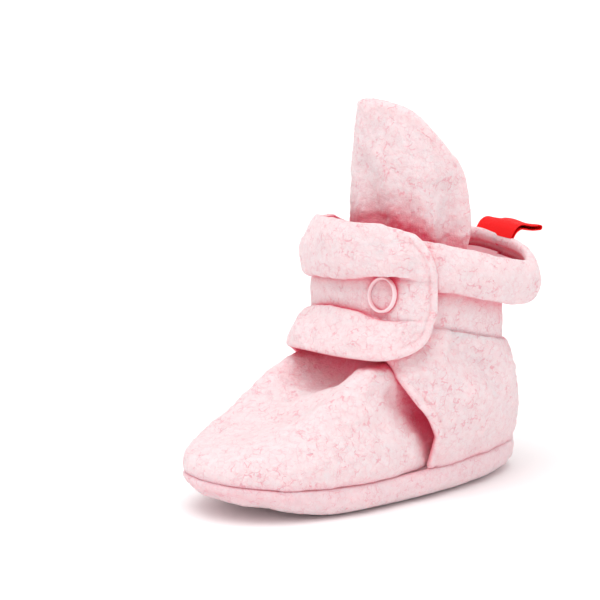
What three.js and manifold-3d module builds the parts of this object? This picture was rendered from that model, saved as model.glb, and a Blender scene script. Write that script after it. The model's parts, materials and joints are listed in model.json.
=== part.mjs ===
// Soft baby bootie in fleece with a wrap-round ankle collar. Millimetres, +Z up.
// The toe points to -Y. The outer flap grows from the -X side and closes over the +X side.
// Every cloth panel is a sheet of even thickness standing on one smooth surface; the linings
// stand on the same surface further in. All panels meet at the sole seam.
import * as THREE from 'three';
import Module from 'manifold-3d';

const wasm = await Module();
wasm.setup();

const RAD = Math.PI / 180;
const GAP = 0.3;

// ---------------------------------------------------------------- cloth and trims
const FLEECE = 1.8;            // brushed fleece, thickness
const JERSEY = 0.6;            // smooth lining, thickness
const LINING_IN = -(FLEECE + 0.45);           // face of the lining, measured inward from the fleece
const ELASTIC = 0.6;           // ankle elastic, thickness
const ELASTIC_WIDTH = 8.0;
const ELASTIC_IN = -(FLEECE + GAP);
const THREAD = 0.45;           // topstitching thread
const OVERLAP = 5.6;           // outer flap's face above the under flap's face

// ---------------------------------------------------------------- sole
const SOLE_HALF = 54.5;
const SOLE_N = 2.3;
const SOLE_BACKSET = 4.2;      // how much wider the toe end is than the middle
const SOLE_WIDE = 23.4;

// ---------------------------------------------------------------- ankle
const ANKLE_Y = 22;
const ANKLE_X_HALF = 24;
const ANKLE_Y_HALF = 22.6;
const ANKLE_N = 2.5;
const BAND_HALF = 5.6;         // half the width of the stitched elastic channel
const RIM = 23;                // cloth length from the band's middle to the rim
const HEEL_PEAK = 3.6;         // how much the rim rises behind the heel
const WALL_RUN = 45;           // cloth coordinate from the band's lower line to the sole seam

// ---------------------------------------------------------------- flaps and tongue
const HINGE = 61;              // degrees from the front, both sides
const SLIT = 0.4;              // half the cut between a flap and the quarter, in degrees
const OUTER_END = 64;          // free end of the outer flap, degrees past the front
const UNDER_END = -6;
const SNAP_ANGLE = 33;
const SNAP_R = 5.0;
const SNAP_ALONG = 0;
const TONGUE_SPLIT = 82;       // height of the fold line
const THROAT_ANGLE = 70;
const VAMP_END = 104;          // rear edge of the vamp, degrees round the sole
const WING_DROP = 4.5;         // how much lower the throat is at its sides than in the middle
const THROAT_Z = 42.5;         // height where the vamp ends and the tongue begins
const TURN_SHARE = 0.70;       // turn round the sole for each degree round the ankle
const PER_DEGREE = 0.44;       // cloth length of one degree round the ankle
const END_ROUND = 29;          // degrees over which a flap's free end is rounded
const END_POWER = 2.1;         // fullness of that rounding
const END_FLAT = 0.14;         // share of the flap's height left at its very end

// ---------------------------------------------------------------- helpers
const clamp = (x, a, b) => Math.min(b, Math.max(a, x));
const mix = (a, b, t) => a + (b - a) * t;
const spow = (v, p) => Math.sign(v) * Math.abs(v) ** p;
const smooth = (a, b, x) => {
  const t = clamp((x - a) / (b - a), 0, 1);
  return t * t * (3 - 2 * t);
};

// Smooth curve through the given points, flat outside them.
const curve = (xs, ys) => {
  const slope = xs.map((_, i) => {
    const a = Math.max(i - 1, 0), b = Math.min(i + 1, xs.length - 1);
    return (ys[b] - ys[a]) / (xs[b] - xs[a]);
  });
  return (at) => {
    const x = clamp(at, xs[0], xs[xs.length - 1]);
    let i = 0;
    while (i < xs.length - 2 && x > xs[i + 1]) i += 1;
    const h = xs[i + 1] - xs[i], t = (x - xs[i]) / h;
    return (2 * t ** 3 - 3 * t ** 2 + 1) * ys[i] + (t ** 3 - 2 * t ** 2 + t) * h * slope[i]
      + (-2 * t ** 3 + 3 * t ** 2) * ys[i + 1] + (t ** 3 - t ** 2) * h * slope[i + 1];
  };
};

const steps = (from, to, count) =>
  Array.from({ length: count + 1 }, (_, i) => from + ((to - from) * i) / count);

// ---------------------------------------------------------------- surfaces
const seamHeight = curve([-SOLE_HALF, -35, 0, SOLE_HALF], [10.8, 9.0, 8.4, 9.4]);

// Sole outline at the seam; turn 0 is the toe, 90 the +X side, 180 the heel.
function seam(turn) {
  const c = Math.cos(turn * RAD), s = Math.sin(turn * RAD);
  const y = -SOLE_HALF * spow(c, 2 / SOLE_N);
  const half = SOLE_WIDE - (SOLE_BACKSET * y) / SOLE_HALF;
  return [half * spow(s, 2 / SOLE_N), y, seamHeight(y)];
}

function seamOut(turn) {
  const a = seam(turn - 0.1), b = seam(turn + 0.1);
  const l = Math.hypot(b[0] - a[0], b[1] - a[1]);
  return [(b[1] - a[1]) / l, -(b[0] - a[0]) / l];
}

// Ankle outline with its outward direction; angle 0 is the front, positive to +X.
function ankle(angle) {
  const c = Math.cos(angle * RAD), s = Math.sin(angle * RAD);
  const nx = spow(s, 2 - 2 / ANKLE_N) / ANKLE_X_HALF;
  const ny = -spow(c, 2 - 2 / ANKLE_N) / ANKLE_Y_HALF;
  const l = Math.hypot(nx, ny);
  return {
    x: ANKLE_X_HALF * spow(s, 2 / ANKLE_N),
    y: ANKLE_Y - ANKLE_Y_HALF * spow(c, 2 / ANKLE_N),
    nx: nx / l,
    ny: ny / l,
  };
}

const bandHeight = curve([-12, -2, 9.5, 25, 41.4, 48], [56.6, 56.2, 55.2, 51.3, 46.8, 45.4]);
const alongCuff = [0, 4.4, 6.6, 9, 13, 17, 20.5, 23];
const cuffFront = {
  out: curve(alongCuff, [0, 0, 0.9, 2.9, 4.1, 3.6, 1.9, 0]),
  up: curve(alongCuff, [0, 4.4, 6.2, 7.5, 10.8, 14.6, 17.7, 19]),
};
const cuffBack = {
  out: curve(alongCuff, [0, 0, 1.6, 4.6, 8.7, 10.6, 10.7, 9.4]),
  up: curve(alongCuff, [0, 4.4, 5.2, 5.6, 7.4, 11.0, 15.0, 18.4]),
};
const alongSkirt = [0, 4.4, 6.6, 8.2, 11, 14, 18, 20, 24];
const skirt = {
  out: curve(alongSkirt, [0, 0, 0.5, 1.6, 4.1, 6.4, 7.9, 8.2, 8.4]),
  down: curve(alongSkirt, [0, 4.4, 6.4, 7.6, 10.0, 12.4, 15.7, 17.4, 20.6]),
};

// How far the overlapping cloth stands off the plain ankle outline, and how much higher it sits.
const quarterStand = (angle) => (angle < 0 ? 3 * smooth(-150, -HINGE, angle) : 0);
const outerStand = (angle) => 3 + (OVERLAP - 3) * smooth(-HINGE, -35, angle);
const outerLift = (angle) => 2.6 * smooth(-50, 10, angle) - 0.8 * smooth(-HINGE, -45, angle);

// The snap holds the cloth flat and turned a little to the front.
function pressed(angle, along) {
  const w = PER_DEGREE * (angle - SNAP_ANGLE);
  return (0.23 * w + w * w / 36) * Math.exp(-(w * w + along * along) / 90);
}

// Collar cloth; along is the cloth length up from the band's middle.
function collar(angle, along, stand = 0, lift = 0) {
  const a = ankle(angle);
  const up = Math.max(along, 0), down = Math.max(-along, 0);
  const toBack = (1 - Math.cos(angle * RAD)) / 2;
  const back = smooth(0.3, 0.95, toBack);
  const out = mix(cuffFront.out(up), cuffBack.out(up), back) + skirt.out(down) + stand
    + pressed(angle, along);
  const rise = mix(cuffFront.up(up), cuffBack.up(up), back) - skirt.down(down)
    + HEEL_PEAK * smooth(0.85, 1, toBack) * (up / RIM) ** 2;
  return [a.x + a.nx * out, a.y + a.ny * out, bandHeight(a.y) + rise + lift];
}

// Wall of the shoe from the band's lower line (share 0) to the sole seam (share 1).
const wallSpread = curve([0, 0.15, 0.35, 0.6, 0.85, 1], [0, 0.06, 0.22, 0.55, 0.88, 1]);
function wall(angle, share, stand = 0) {
  const side = angle < 0 ? -1 : 1;
  const a = Math.abs(angle);
  const top = collar(angle, -BAND_HALF, stand);
  const turn = side * (180 - (180 - a) * TURN_SHARE);
  const foot = seam(turn), out = seamOut(turn);
  const g = wallSpread(share);
  const puff = (2.6 + 1.6 * smooth(110, 61, a)) * Math.sin(Math.PI * clamp(share, 0, 1) ** 1.25)
    + 1.0 * g;
  return [
    mix(top[0], foot[0], g) + out[0] * puff,
    mix(top[1], foot[1], g) + out[1] * puff,
    mix(top[2], foot[2], share),
  ];
}

// Quarter: collar above, wall below, one coordinate along the cloth.
function quarterAt(angle, along) {
  const a = angle > 180 ? angle - 360 : angle;
  if (along >= -BAND_HALF) return collar(a, along, quarterStand(a));
  return wall(a, (-BAND_HALF - along) / WALL_RUN, quarterStand(a));
}

// Flap: like the quarter near the hinge, a free skirt further round.
function flapAt(angle, along, stand, lift) {
  if (along >= -BAND_HALF) return collar(angle, along, stand, lift);
  const free = collar(angle, along, stand, lift);
  const fixed = wall(angle, (-BAND_HALF - along) / WALL_RUN, stand);
  const k = smooth(20, HINGE, Math.abs(angle));
  return free.map((v, i) => mix(v, fixed[i] + (i === 2 ? lift : 0), k));
}
const outerFlapAt = (angle, along) => flapAt(angle, along, outerStand(angle), outerLift(angle));
const underLift = (angle) => 1.8 * smooth(58, 38, angle);
const underFlapAt = (angle, along) => flapAt(angle, along, 0, underLift(angle));

// Tongue: a tall sheet bent round the front of the leg.
const tongueApex = curve([THROAT_Z, 46, 50, 60, 77, 90, 111.2],
  [1.2, 3.2, 4.6, 5.0, 4.8, 5.0, 7.2]);
const tongueHalfX = curve([THROAT_Z, 50, 77, 111.2], [19.2, 18.5, 18.4, 17.0]);
const tongueReach = curve(
  [THROAT_Z, 50, 60, 70, 77, 90, 99, 105, 109, 110.6, 111.2],
  [THROAT_ANGLE, 74, 88, 101, 105, 99, 83, 62, 41, 24, 8],
);
function tongueAt(share, z) {
  const a = share * tongueReach(z) * RAD;
  const depth = ANKLE_Y - tongueApex(z);
  return [
    tongueHalfX(z) * spow(Math.sin(a), 2 / ANKLE_N),
    ANKLE_Y - depth * spow(Math.cos(a), 2 / ANKLE_N),
    z - WING_DROP * share * share * smooth(60, THROAT_Z, z),
  ];
}

// Vamp: a fan of lines from the sole seam to the throat, where the tongue begins.
const crestRise = curve([0, 0.03, 0.08, 0.2, 0.4, 0.65, 0.85, 1],
  [0, 0.13, 0.21, 0.29, 0.39, 0.56, 0.74, 1]);
const vampInset = (turn) => 2.6 * smooth(66, 90, Math.abs(turn));
function vampAt(turn, share) {
  const foot = seam(turn), out = seamOut(turn);
  const top = tongueAt(turn / VAMP_END, THROAT_Z);
  const side = smooth(0, 70, Math.abs(turn));
  const along = spow(share, 1.35);
  const across = mix(along, spow(share, 1.9), side);
  const rise = mix(crestRise(along), spow(Math.sin((share * Math.PI) / 2), 1.35), side);
  const puff = 1.3 * Math.sin(Math.PI * clamp(share / 0.5, 0, 1)) - vampInset(turn) * (1 - across);
  return [
    mix(foot[0], top[0], across) + out[0] * puff,
    mix(foot[1], top[1], across) + out[1] * puff,
    mix(foot[2], top[2], rise),
  ];
}

// ---------------------------------------------------------------- mesh building
const normalAt = (surface, u, v) => {
  const e = 0.05, f = 0.02;
  const du = new THREE.Vector3(...surface(u + e, v)).sub(new THREE.Vector3(...surface(u - e, v)));
  const dv = new THREE.Vector3(...surface(u, v + f)).sub(new THREE.Vector3(...surface(u, v - f)));
  return du.cross(dv).normalize();
};

function meshFrom(positions, index) {
  const g = new THREE.BufferGeometry();
  g.setAttribute('position', new THREE.Float32BufferAttribute(positions, 3));
  g.setIndex(index);
  return g;
}

function volumeOf(positions, index) {
  let sum = 0;
  const p = (i) => new THREE.Vector3(positions[3 * i], positions[3 * i + 1], positions[3 * i + 2]);
  for (let i = 0; i < index.length; i += 3) {
    sum += p(index[i]).dot(p(index[i + 1]).cross(p(index[i + 2])));
  }
  return sum;
}

function closed(positions, index) {
  if (volumeOf(positions, index) < 0) {
    for (let i = 0; i < index.length; i += 3) [index[i], index[i + 1]] = [index[i + 1], index[i]];
  }
  return meshFrom(positions, index);
}

// Sheet between two distances from a surface, over columns us and rows vs(u).
function sheet(surface, us, rowsAt, outer, inner) {
  const positions = [], index = [];
  const rows = rowsAt(us[0]).length;
  const faces = [outer, inner];
  for (const face of faces) {
    for (const u of us) {
      for (const v of rowsAt(u)) {
        const p = surface(u, v), n = normalAt(surface, u, v);
        const d = typeof face === 'function' ? face(u, v) : face;
        positions.push(p[0] + n.x * d, p[1] + n.y * d, p[2] + n.z * d);
      }
    }
  }
  const at = (face, i, j) => (face * us.length + i) * rows + j;
  const quad = (a, b, c, d) => index.push(a, b, c, a, c, d);
  for (let i = 0; i < us.length - 1; i += 1) {
    for (let j = 0; j < rows - 1; j += 1) {
      quad(at(0, i, j), at(0, i + 1, j), at(0, i + 1, j + 1), at(0, i, j + 1));
      quad(at(1, i, j + 1), at(1, i + 1, j + 1), at(1, i + 1, j), at(1, i, j));
    }
    quad(at(1, i, 0), at(1, i + 1, 0), at(0, i + 1, 0), at(0, i, 0));
    const k = rows - 1;
    quad(at(0, i, k), at(0, i + 1, k), at(1, i + 1, k), at(1, i, k));
  }
  for (let j = 0; j < rows - 1; j += 1) {
    quad(at(0, 0, j), at(0, 0, j + 1), at(1, 0, j + 1), at(1, 0, j));
    const k = us.length - 1;
    quad(at(1, k, j), at(1, k, j + 1), at(0, k, j + 1), at(0, k, j));
  }
  return closed(positions, index);
}

// Bowl between two nested cups, each given as rings from the rim to a middle point.
function bowl(rings, turns) {
  const positions = [], index = [];
  const start = rings.map((cup) => {
    const base = positions.length / 3;
    cup.levels.forEach((level) => turns.forEach((t) => positions.push(...level(t))));
    positions.push(...cup.middle);
    return base;
  });
  const n = turns.length;
  rings.forEach((cup, side) => {
    const base = start[side], count = cup.levels.length;
    for (let r = 0; r < count - 1; r += 1) {
      for (let i = 0; i < n; i += 1) {
        const j = (i + 1) % n;
        const a = base + r * n + i, b = base + r * n + j, c = b + n, d = a + n;
        if (side === 0) index.push(a, c, b, a, d, c);
        else index.push(a, b, c, a, c, d);
      }
    }
    for (let i = 0; i < n; i += 1) {
      const j = (i + 1) % n, last = base + (count - 1) * n, mid = base + count * n;
      if (side === 0) index.push(last + i, mid, last + j);
      else index.push(last + i, last + j, mid);
    }
  });
  for (let i = 0; i < n; i += 1) {
    const j = (i + 1) % n;
    index.push(start[0] + i, start[0] + j, start[1] + j, start[0] + i, start[1] + j, start[1] + i);
  }
  return closed(positions, index);
}

// ---------------------------------------------------------------- sole parts
// Cup shape of the sole: level 0 at the seam, then round the edge and in to the flat underside.
// The toe end is drawn in and turned up a little.
const CUP = [
  { bulge: 0, fall: 0, shrink: 1, toeIn: 0, toeUp: 0, lift: 0 },
  { bulge: 1.1, fall: 0.42, shrink: 1, toeIn: 1.0, toeUp: 0.5, lift: 0.35 },
  { bulge: 0.5, fall: 0.82, shrink: 1, toeIn: 2.6, toeUp: 1.6, lift: 0.53 },
  { bulge: -2.4, fall: 1, shrink: 0.92, toeIn: 4.5, toeUp: 2.2, lift: 0.7 },
  { bulge: -3.5, fall: 1, shrink: 0.68, toeIn: 3.0, toeUp: 0, lift: 1 },
];
function soleLevel(cup, inset, lift) {
  return (turn) => {
    const s = seam(turn), out = seamOut(turn);
    const toe = smooth(-22, -SOLE_HALF, s[1]);
    const reach = cup.bulge - inset - cup.toeIn * toe;
    return [
      (s[0] + out[0] * reach) * cup.shrink,
      (s[1] + out[1] * reach) * cup.shrink,
      mix(s[2] - GAP, 0, cup.fall) + lift * cup.lift + cup.toeUp * toe,
    ];
  };
}

function soleCup(inset, lift, top) {
  const levels = CUP.map((cup) => soleLevel(cup, inset, lift));
  if (top) {
    const rim = levels[0];
    levels[0] = (t) => { const p = rim(t); return [p[0], p[1], p[2] - top]; };
  }
  return { levels, middle: [0, 0, lift] };
}

const INSOLE_IN = FLEECE + GAP;
const soleTurns = steps(0, 360, 36).slice(0, -1);
const soleOuter = () => bowl([soleCup(0, 0, 0), soleCup(FLEECE, FLEECE, 0)], soleTurns);
const soleLining = () => bowl(
  [soleCup(INSOLE_IN, INSOLE_IN, 0.6), soleCup(INSOLE_IN + JERSEY, INSOLE_IN + JERSEY, 0.6)],
  steps(0, 360, 28).slice(0, -1),
);

// ---------------------------------------------------------------- cloth panels
// Extra depth of a lining where the elastic lies in front of it.
const pastElastic = (u, v) => -(ELASTIC + GAP) * smooth(BAND_HALF + 3, BAND_HALF, Math.abs(v));
const quarterRows = [RIM, 20.5, 17, 13, 9.4, 6.8, 4.5, -4.5, -6.8, -10, -15, -22, -31, -41,
  -BAND_HALF - WALL_RUN];
const quarterColumns = steps(HINGE + SLIT, 360 - HINGE - SLIT, 26);

const quarterOuter = () => sheet(quarterAt, quarterColumns, () => quarterRows, 0, -FLEECE);
const quarterLining = () => sheet(quarterAt, quarterColumns, () => quarterRows,
  (u, v) => LINING_IN + pastElastic(u, v), (u, v) => LINING_IN - JERSEY + pastElastic(u, v));
const ankleElastic = () => sheet(quarterAt, quarterColumns.slice(1, -1),
  () => [ELASTIC_WIDTH / 2, -ELASTIC_WIDTH / 2], ELASTIC_IN, ELASTIC_IN - ELASTIC);

const vampShares = [0.012, 0.08, 0.17, 0.28, 0.4, 0.54, 0.68, 0.82, 0.92, 0.99];
const vampTurns = steps(-VAMP_END, VAMP_END, 22);
const vampOuter = () => sheet(vampAt, vampTurns, () => vampShares, 0, -FLEECE);
const vampLining = () => sheet(vampAt, vampTurns, () => vampShares, LINING_IN, LINING_IN - JERSEY);

// Free end of a flap: the rim and the lower edge close in over the last stretch of cloth.
const corner = (x) => (1 - clamp(x, 0, 1) ** END_POWER) ** (1 / END_POWER);
const outerLow = curve([-61, -50, -38, -20, 5, 30, 50, 64],
  [-31, -24.5, -19.8, -18.8, -18.8, -18.0, -16.8, -16.2]);
const underLow = curve([-6, 20, 34, 42, 50, 61], [-17.5, -17.5, -19.5, -23.5, -27.5, -34]);
const END_MIDDLE = 1.5;        // cloth coordinate that the rounded end closes in on

function flapRows(low, endness) {
  const k = mix(END_FLAT, 1, corner(endness));
  const above = [RIM, 20.5, 17, 13, 9.4, 6.8, 4.5, -4.5];
  const below = [0.12, 0.3, 0.6, 1].map((share) => mix(-4.5, low, share));
  return [...above, ...below].map((along) => mix(END_MIDDLE, along, k));
}
const outerRows = (angle) => flapRows(outerLow(angle), 1 - (OUTER_END - angle) / END_ROUND);
const underRows = (angle) => flapRows(underLow(angle), 1 - (angle - UNDER_END) / END_ROUND);
const outerColumns = [...steps(-HINGE + SLIT, 34, 14), 41, 47, 52, 56.5, 60, 62.5, OUTER_END];
const underColumns = [UNDER_END, -4.5, -2, 2, 7, 13, ...steps(20, HINGE - SLIT, 7)];

// ---------------------------------------------------------------- booleans
function toManifold(geometry) {
  const p = geometry.getAttribute('position').array;
  const mesh = new wasm.Mesh({
    numProp: 3,
    vertProperties: new Float32Array(p),
    triVerts: new Uint32Array(geometry.getIndex().array),
  });
  return new wasm.Manifold(mesh);
}

function fromManifold(solid) {
  const m = solid.getMesh();
  const p = [];
  for (let i = 0; i < m.numVert; i += 1) {
    p.push(...m.vertProperties.slice(i * m.numProp, i * m.numProp + 3));
  }
  return meshFrom(p, Array.from(m.triVerts));
}

// ---------------------------------------------------------------- snap fastener
const SNAP_POINTS = 5;
const CAP_POINTS = 4.45;       // circle the cap's points stand on
const STUD_POINTS = 3.3;
const POINT_SIDE = 0.6;

function latheRing(profile, segments = 20) {
  const points = [...profile, profile[0]].map(([r, z]) => new THREE.Vector2(r, z));
  return new THREE.LatheGeometry(points, segments).rotateX(Math.PI / 2);
}

function weld(geometry) {
  const p = geometry.getAttribute('position');
  const seen = new Map(), positions = [], remap = [];
  for (let i = 0; i < p.count; i += 1) {
    const key = [p.getX(i), p.getY(i), p.getZ(i)].map((v) => Math.round(v * 1e4)).join();
    if (!seen.has(key)) {
      seen.set(key, positions.length / 3);
      positions.push(p.getX(i), p.getY(i), p.getZ(i));
    }
    remap.push(seen.get(key));
  }
  const old = geometry.getIndex() ? Array.from(geometry.getIndex().array) : remap.map((_, i) => i);
  const index = [];
  for (let i = 0; i < old.length; i += 3) {
    const [a, b, c] = [remap[old[i]], remap[old[i + 1]], remap[old[i + 2]]];
    if (a !== b && b !== c && c !== a) index.push(a, b, c);
  }
  return closed(positions, index);
}

// Points (square pins) standing on a circle, from height low to high along local Z.
function points(radius, low, high, side) {
  let all = null;
  for (let i = 0; i < SNAP_POINTS; i += 1) {
    const box = new THREE.BoxGeometry(side, side, high - low);
    box.translate(radius, 0, (low + high) / 2);
    box.rotateZ((i * 2 * Math.PI) / SNAP_POINTS);
    const pin = toManifold(weld(box));
    all = all ? all.add(pin) : pin;
  }
  return all;
}

// Places local +Z along the outward normal of a flap surface at the snap.
function snapPlace() {
  const base = new THREE.Vector3(...underFlapAt(SNAP_ANGLE, SNAP_ALONG));
  const n = normalAt(underFlapAt, SNAP_ANGLE, SNAP_ALONG);
  const q = new THREE.Quaternion().setFromUnitVectors(new THREE.Vector3(0, 0, 1), n);
  return new THREE.Matrix4().compose(base, q, new THREE.Vector3(1, 1, 1));
}

const place = (solid) => {
  const g = fromManifold(solid);
  g.applyMatrix4(snapPlace());
  return g;
};

const cutPoints = (geometry, radius, low, high) => {
  const g = fromManifold(points(radius, low, high, POINT_SIDE + 2 * GAP));
  g.applyMatrix4(snapPlace());
  return fromManifold(toManifold(geometry).subtract(toManifold(g)));
};

const UNDER_BACK = LINING_IN - JERSEY - 0.9;    // clear of the cloth's hollow side
const STUD_BASE = GAP;
const SOCKET_BASE = 1.4;
const CAP_BASE = OVERLAP + 2 * GAP;

const snapStud = () => place(toManifold(weld(latheRing([
  [0.9, STUD_BASE], [2.65, STUD_BASE], [2.65, 0.85], [SNAP_R, 0.85], [SNAP_R, 1.1], [1.75, 1.1],
  [1.85, 1.9], [1.5, 2.35], [0.9, 2.35],
]))));
const snapStudRing = () => place(toManifold(weld(latheRing([
  [2.7, UNDER_BACK - 0.5], [3.7, UNDER_BACK - 0.5], [3.85, UNDER_BACK - 0.35],
  [3.85, UNDER_BACK], [2.7, UNDER_BACK],
]))).add(points(STUD_POINTS, UNDER_BACK - 0.1, 0.6, POINT_SIDE)));
const snapSocket = () => place(toManifold(weld(latheRing([
  [2.2, SOCKET_BASE], [4.7, SOCKET_BASE], [4.7, 1.55], [3.7, 1.55], [3.7, 2.15], [2.2, 2.15],
]))));
const snapCapRing = () => place(toManifold(weld(latheRing([
  [3.95, CAP_BASE], [SNAP_R, CAP_BASE], [SNAP_R, CAP_BASE + 0.4], [SNAP_R - 0.3, CAP_BASE + 0.75],
  [4.25, CAP_BASE + 0.75], [3.95, CAP_BASE + 0.45],
]))).add(points(CAP_POINTS, 2.0, CAP_BASE + 0.1, POINT_SIDE)));

// ---------------------------------------------------------------- topstitching
// Thread laid along one edge of the elastic channel, just proud of the fleece.
function thread(surface, columns, along) {
  return sheet(surface, columns, () => [along + THREAD / 2, along - THREAD / 2], GAP + THREAD, GAP);
}

// ---------------------------------------------------------------- back label
const LABEL_WIDTH = 16;
const LABEL_X = -1;            // middle of the label, a little off the back seam
const LABEL_THICK = 0.4;
const LABEL_ROOT = { y: 52.9, z: 69.0 };
const LABEL_GAP = 1.5;         // between the two layers of the folded ribbon

// Ribbon folded in a loop: a flattened ring in the upright plane, drawn out across its width.
function backLabel() {
  const path = curve([0, 2, 4.4, 7.5, 10.5], [0, 2.4, 3.2, 2.2, 1.9]);
  const layer = (from, to, drop) => steps(from, to, 7).map((d) => [d, path(d) - drop]);
  const outer = [...layer(0, 10, 0), [10.6, 1.3], [10.3, 0.6], ...layer(9.2, 0.5, LABEL_GAP)];
  const inner = [...layer(0.5, 9.2, LABEL_GAP - LABEL_THICK), [9.9, 0.9], [9.9, 1.4],
    ...layer(9.5, 0.3, LABEL_THICK)];
  const shape = new THREE.Shape();
  [...outer, ...inner].forEach(([d, h], i) => (i ? shape.lineTo(d, h) : shape.moveTo(d, h)));
  const g = new THREE.ExtrudeGeometry(shape, { depth: LABEL_WIDTH, bevelEnabled: false });
  const turn = new THREE.Matrix4().set(0, 0, 1, LABEL_X - LABEL_WIDTH / 2, 1, 0, 0, LABEL_ROOT.y,
    0, 1, 0, LABEL_ROOT.z, 0, 0, 0, 1);
  g.applyMatrix4(turn);
  return weld(g);
}

// ---------------------------------------------------------------- assembly
const finish = {
  fleece: new THREE.MeshStandardMaterial({ color: 0xf7d7d9, roughness: 1 }),
  lining: new THREE.MeshStandardMaterial({ color: 0xf5c3c9, roughness: 0.95 }),
  elastic: new THREE.MeshStandardMaterial({ color: 0xf4efe9, roughness: 0.9 }),
  thread: new THREE.MeshStandardMaterial({ color: 0xeec3c8, roughness: 0.8 }),
  snap: new THREE.MeshStandardMaterial({ color: 0xf3cfd2, roughness: 0.45 }),
  label: new THREE.MeshStandardMaterial({ color: 0xe01418, roughness: 0.6 }),
};

const part = new THREE.Group();
part.name = 'baby_bootie';
function add(name, geometry, material) {
  const g = geometry.getIndex() ? geometry : weld(geometry);
  g.computeVertexNormals();
  const mesh = new THREE.Mesh(g, finish[material].clone());
  mesh.name = name;
  part.add(mesh);
}

add('sole_outer', soleOuter(), 'fleece');
add('sole_lining', soleLining(), 'lining');
add('vamp_outer', vampOuter(), 'fleece');
add('vamp_lining', vampLining(), 'lining');
add('quarter_outer', quarterOuter(), 'fleece');
add('quarter_lining', quarterLining(), 'lining');
add('ankle_elastic', ankleElastic(), 'elastic');

const tongueSheet = (rows, outer, inner) => sheet(tongueAt, steps(-1, 1, 16), () => rows, outer, inner);
const baseRows = [43, 46, 50, 56, 64, 72, TONGUE_SPLIT - 0.2];
const tipRows = [TONGUE_SPLIT + 0.2, 88, 94, 99, 103, 106, 108.5, 110.2, 111];
add('tongue_base_outer', tongueSheet(baseRows, 0, -FLEECE), 'fleece');
add('tongue_base_lining', tongueSheet(baseRows, LINING_IN, LINING_IN - JERSEY), 'lining');
add('tongue_tip_outer', tongueSheet(tipRows, 0, -FLEECE), 'fleece');
add('tongue_tip_lining', tongueSheet(tipRows, LINING_IN, LINING_IN - JERSEY), 'lining');

const outerFlapOuter = sheet(outerFlapAt, outerColumns, outerRows, 0, -FLEECE);
const outerFlapLining = sheet(outerFlapAt, outerColumns, outerRows, LINING_IN, LINING_IN - JERSEY);
add('outer_flap_outer', cutPoints(outerFlapOuter, CAP_POINTS, 1.9, CAP_BASE + 1), 'fleece');
add('outer_flap_lining', cutPoints(outerFlapLining, CAP_POINTS, 1.9, CAP_BASE + 1), 'lining');
const underFlapOuter = sheet(underFlapAt, underColumns, underRows, 0, -FLEECE);
const UNDER_LINING_IN = LINING_IN - 0.32;
const underFlapLining = sheet(underFlapAt, underColumns, underRows,
  UNDER_LINING_IN, UNDER_LINING_IN - JERSEY);
add('under_flap_outer', cutPoints(underFlapOuter, STUD_POINTS, -5, 1.0), 'fleece');
add('under_flap_lining', cutPoints(underFlapLining, STUD_POINTS, -5, 1.0), 'lining');

for (const [tag, along] of [['top', BAND_HALF], ['bottom', -BAND_HALF]]) {
  add(`quarter_stitch_${tag}`, thread(quarterAt, quarterColumns, along), 'thread');
  add(`outer_flap_stitch_${tag}`, thread(outerFlapAt, outerColumns.slice(0, -4), along), 'thread');
  add(`under_flap_stitch_${tag}`, thread(underFlapAt, underColumns.slice(4), along), 'thread');
}

add('snap_stud', snapStud(), 'snap');
add('snap_stud_ring', snapStudRing(), 'snap');
add('snap_socket', snapSocket(), 'snap');
add('snap_cap_ring', snapCapRing(), 'snap');
add('back_label', backLabel(), 'label');

export default part;
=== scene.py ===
"""Fleece baby bootie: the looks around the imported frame. Surfaces are worked out in millimetres."""

import json
import math

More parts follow.
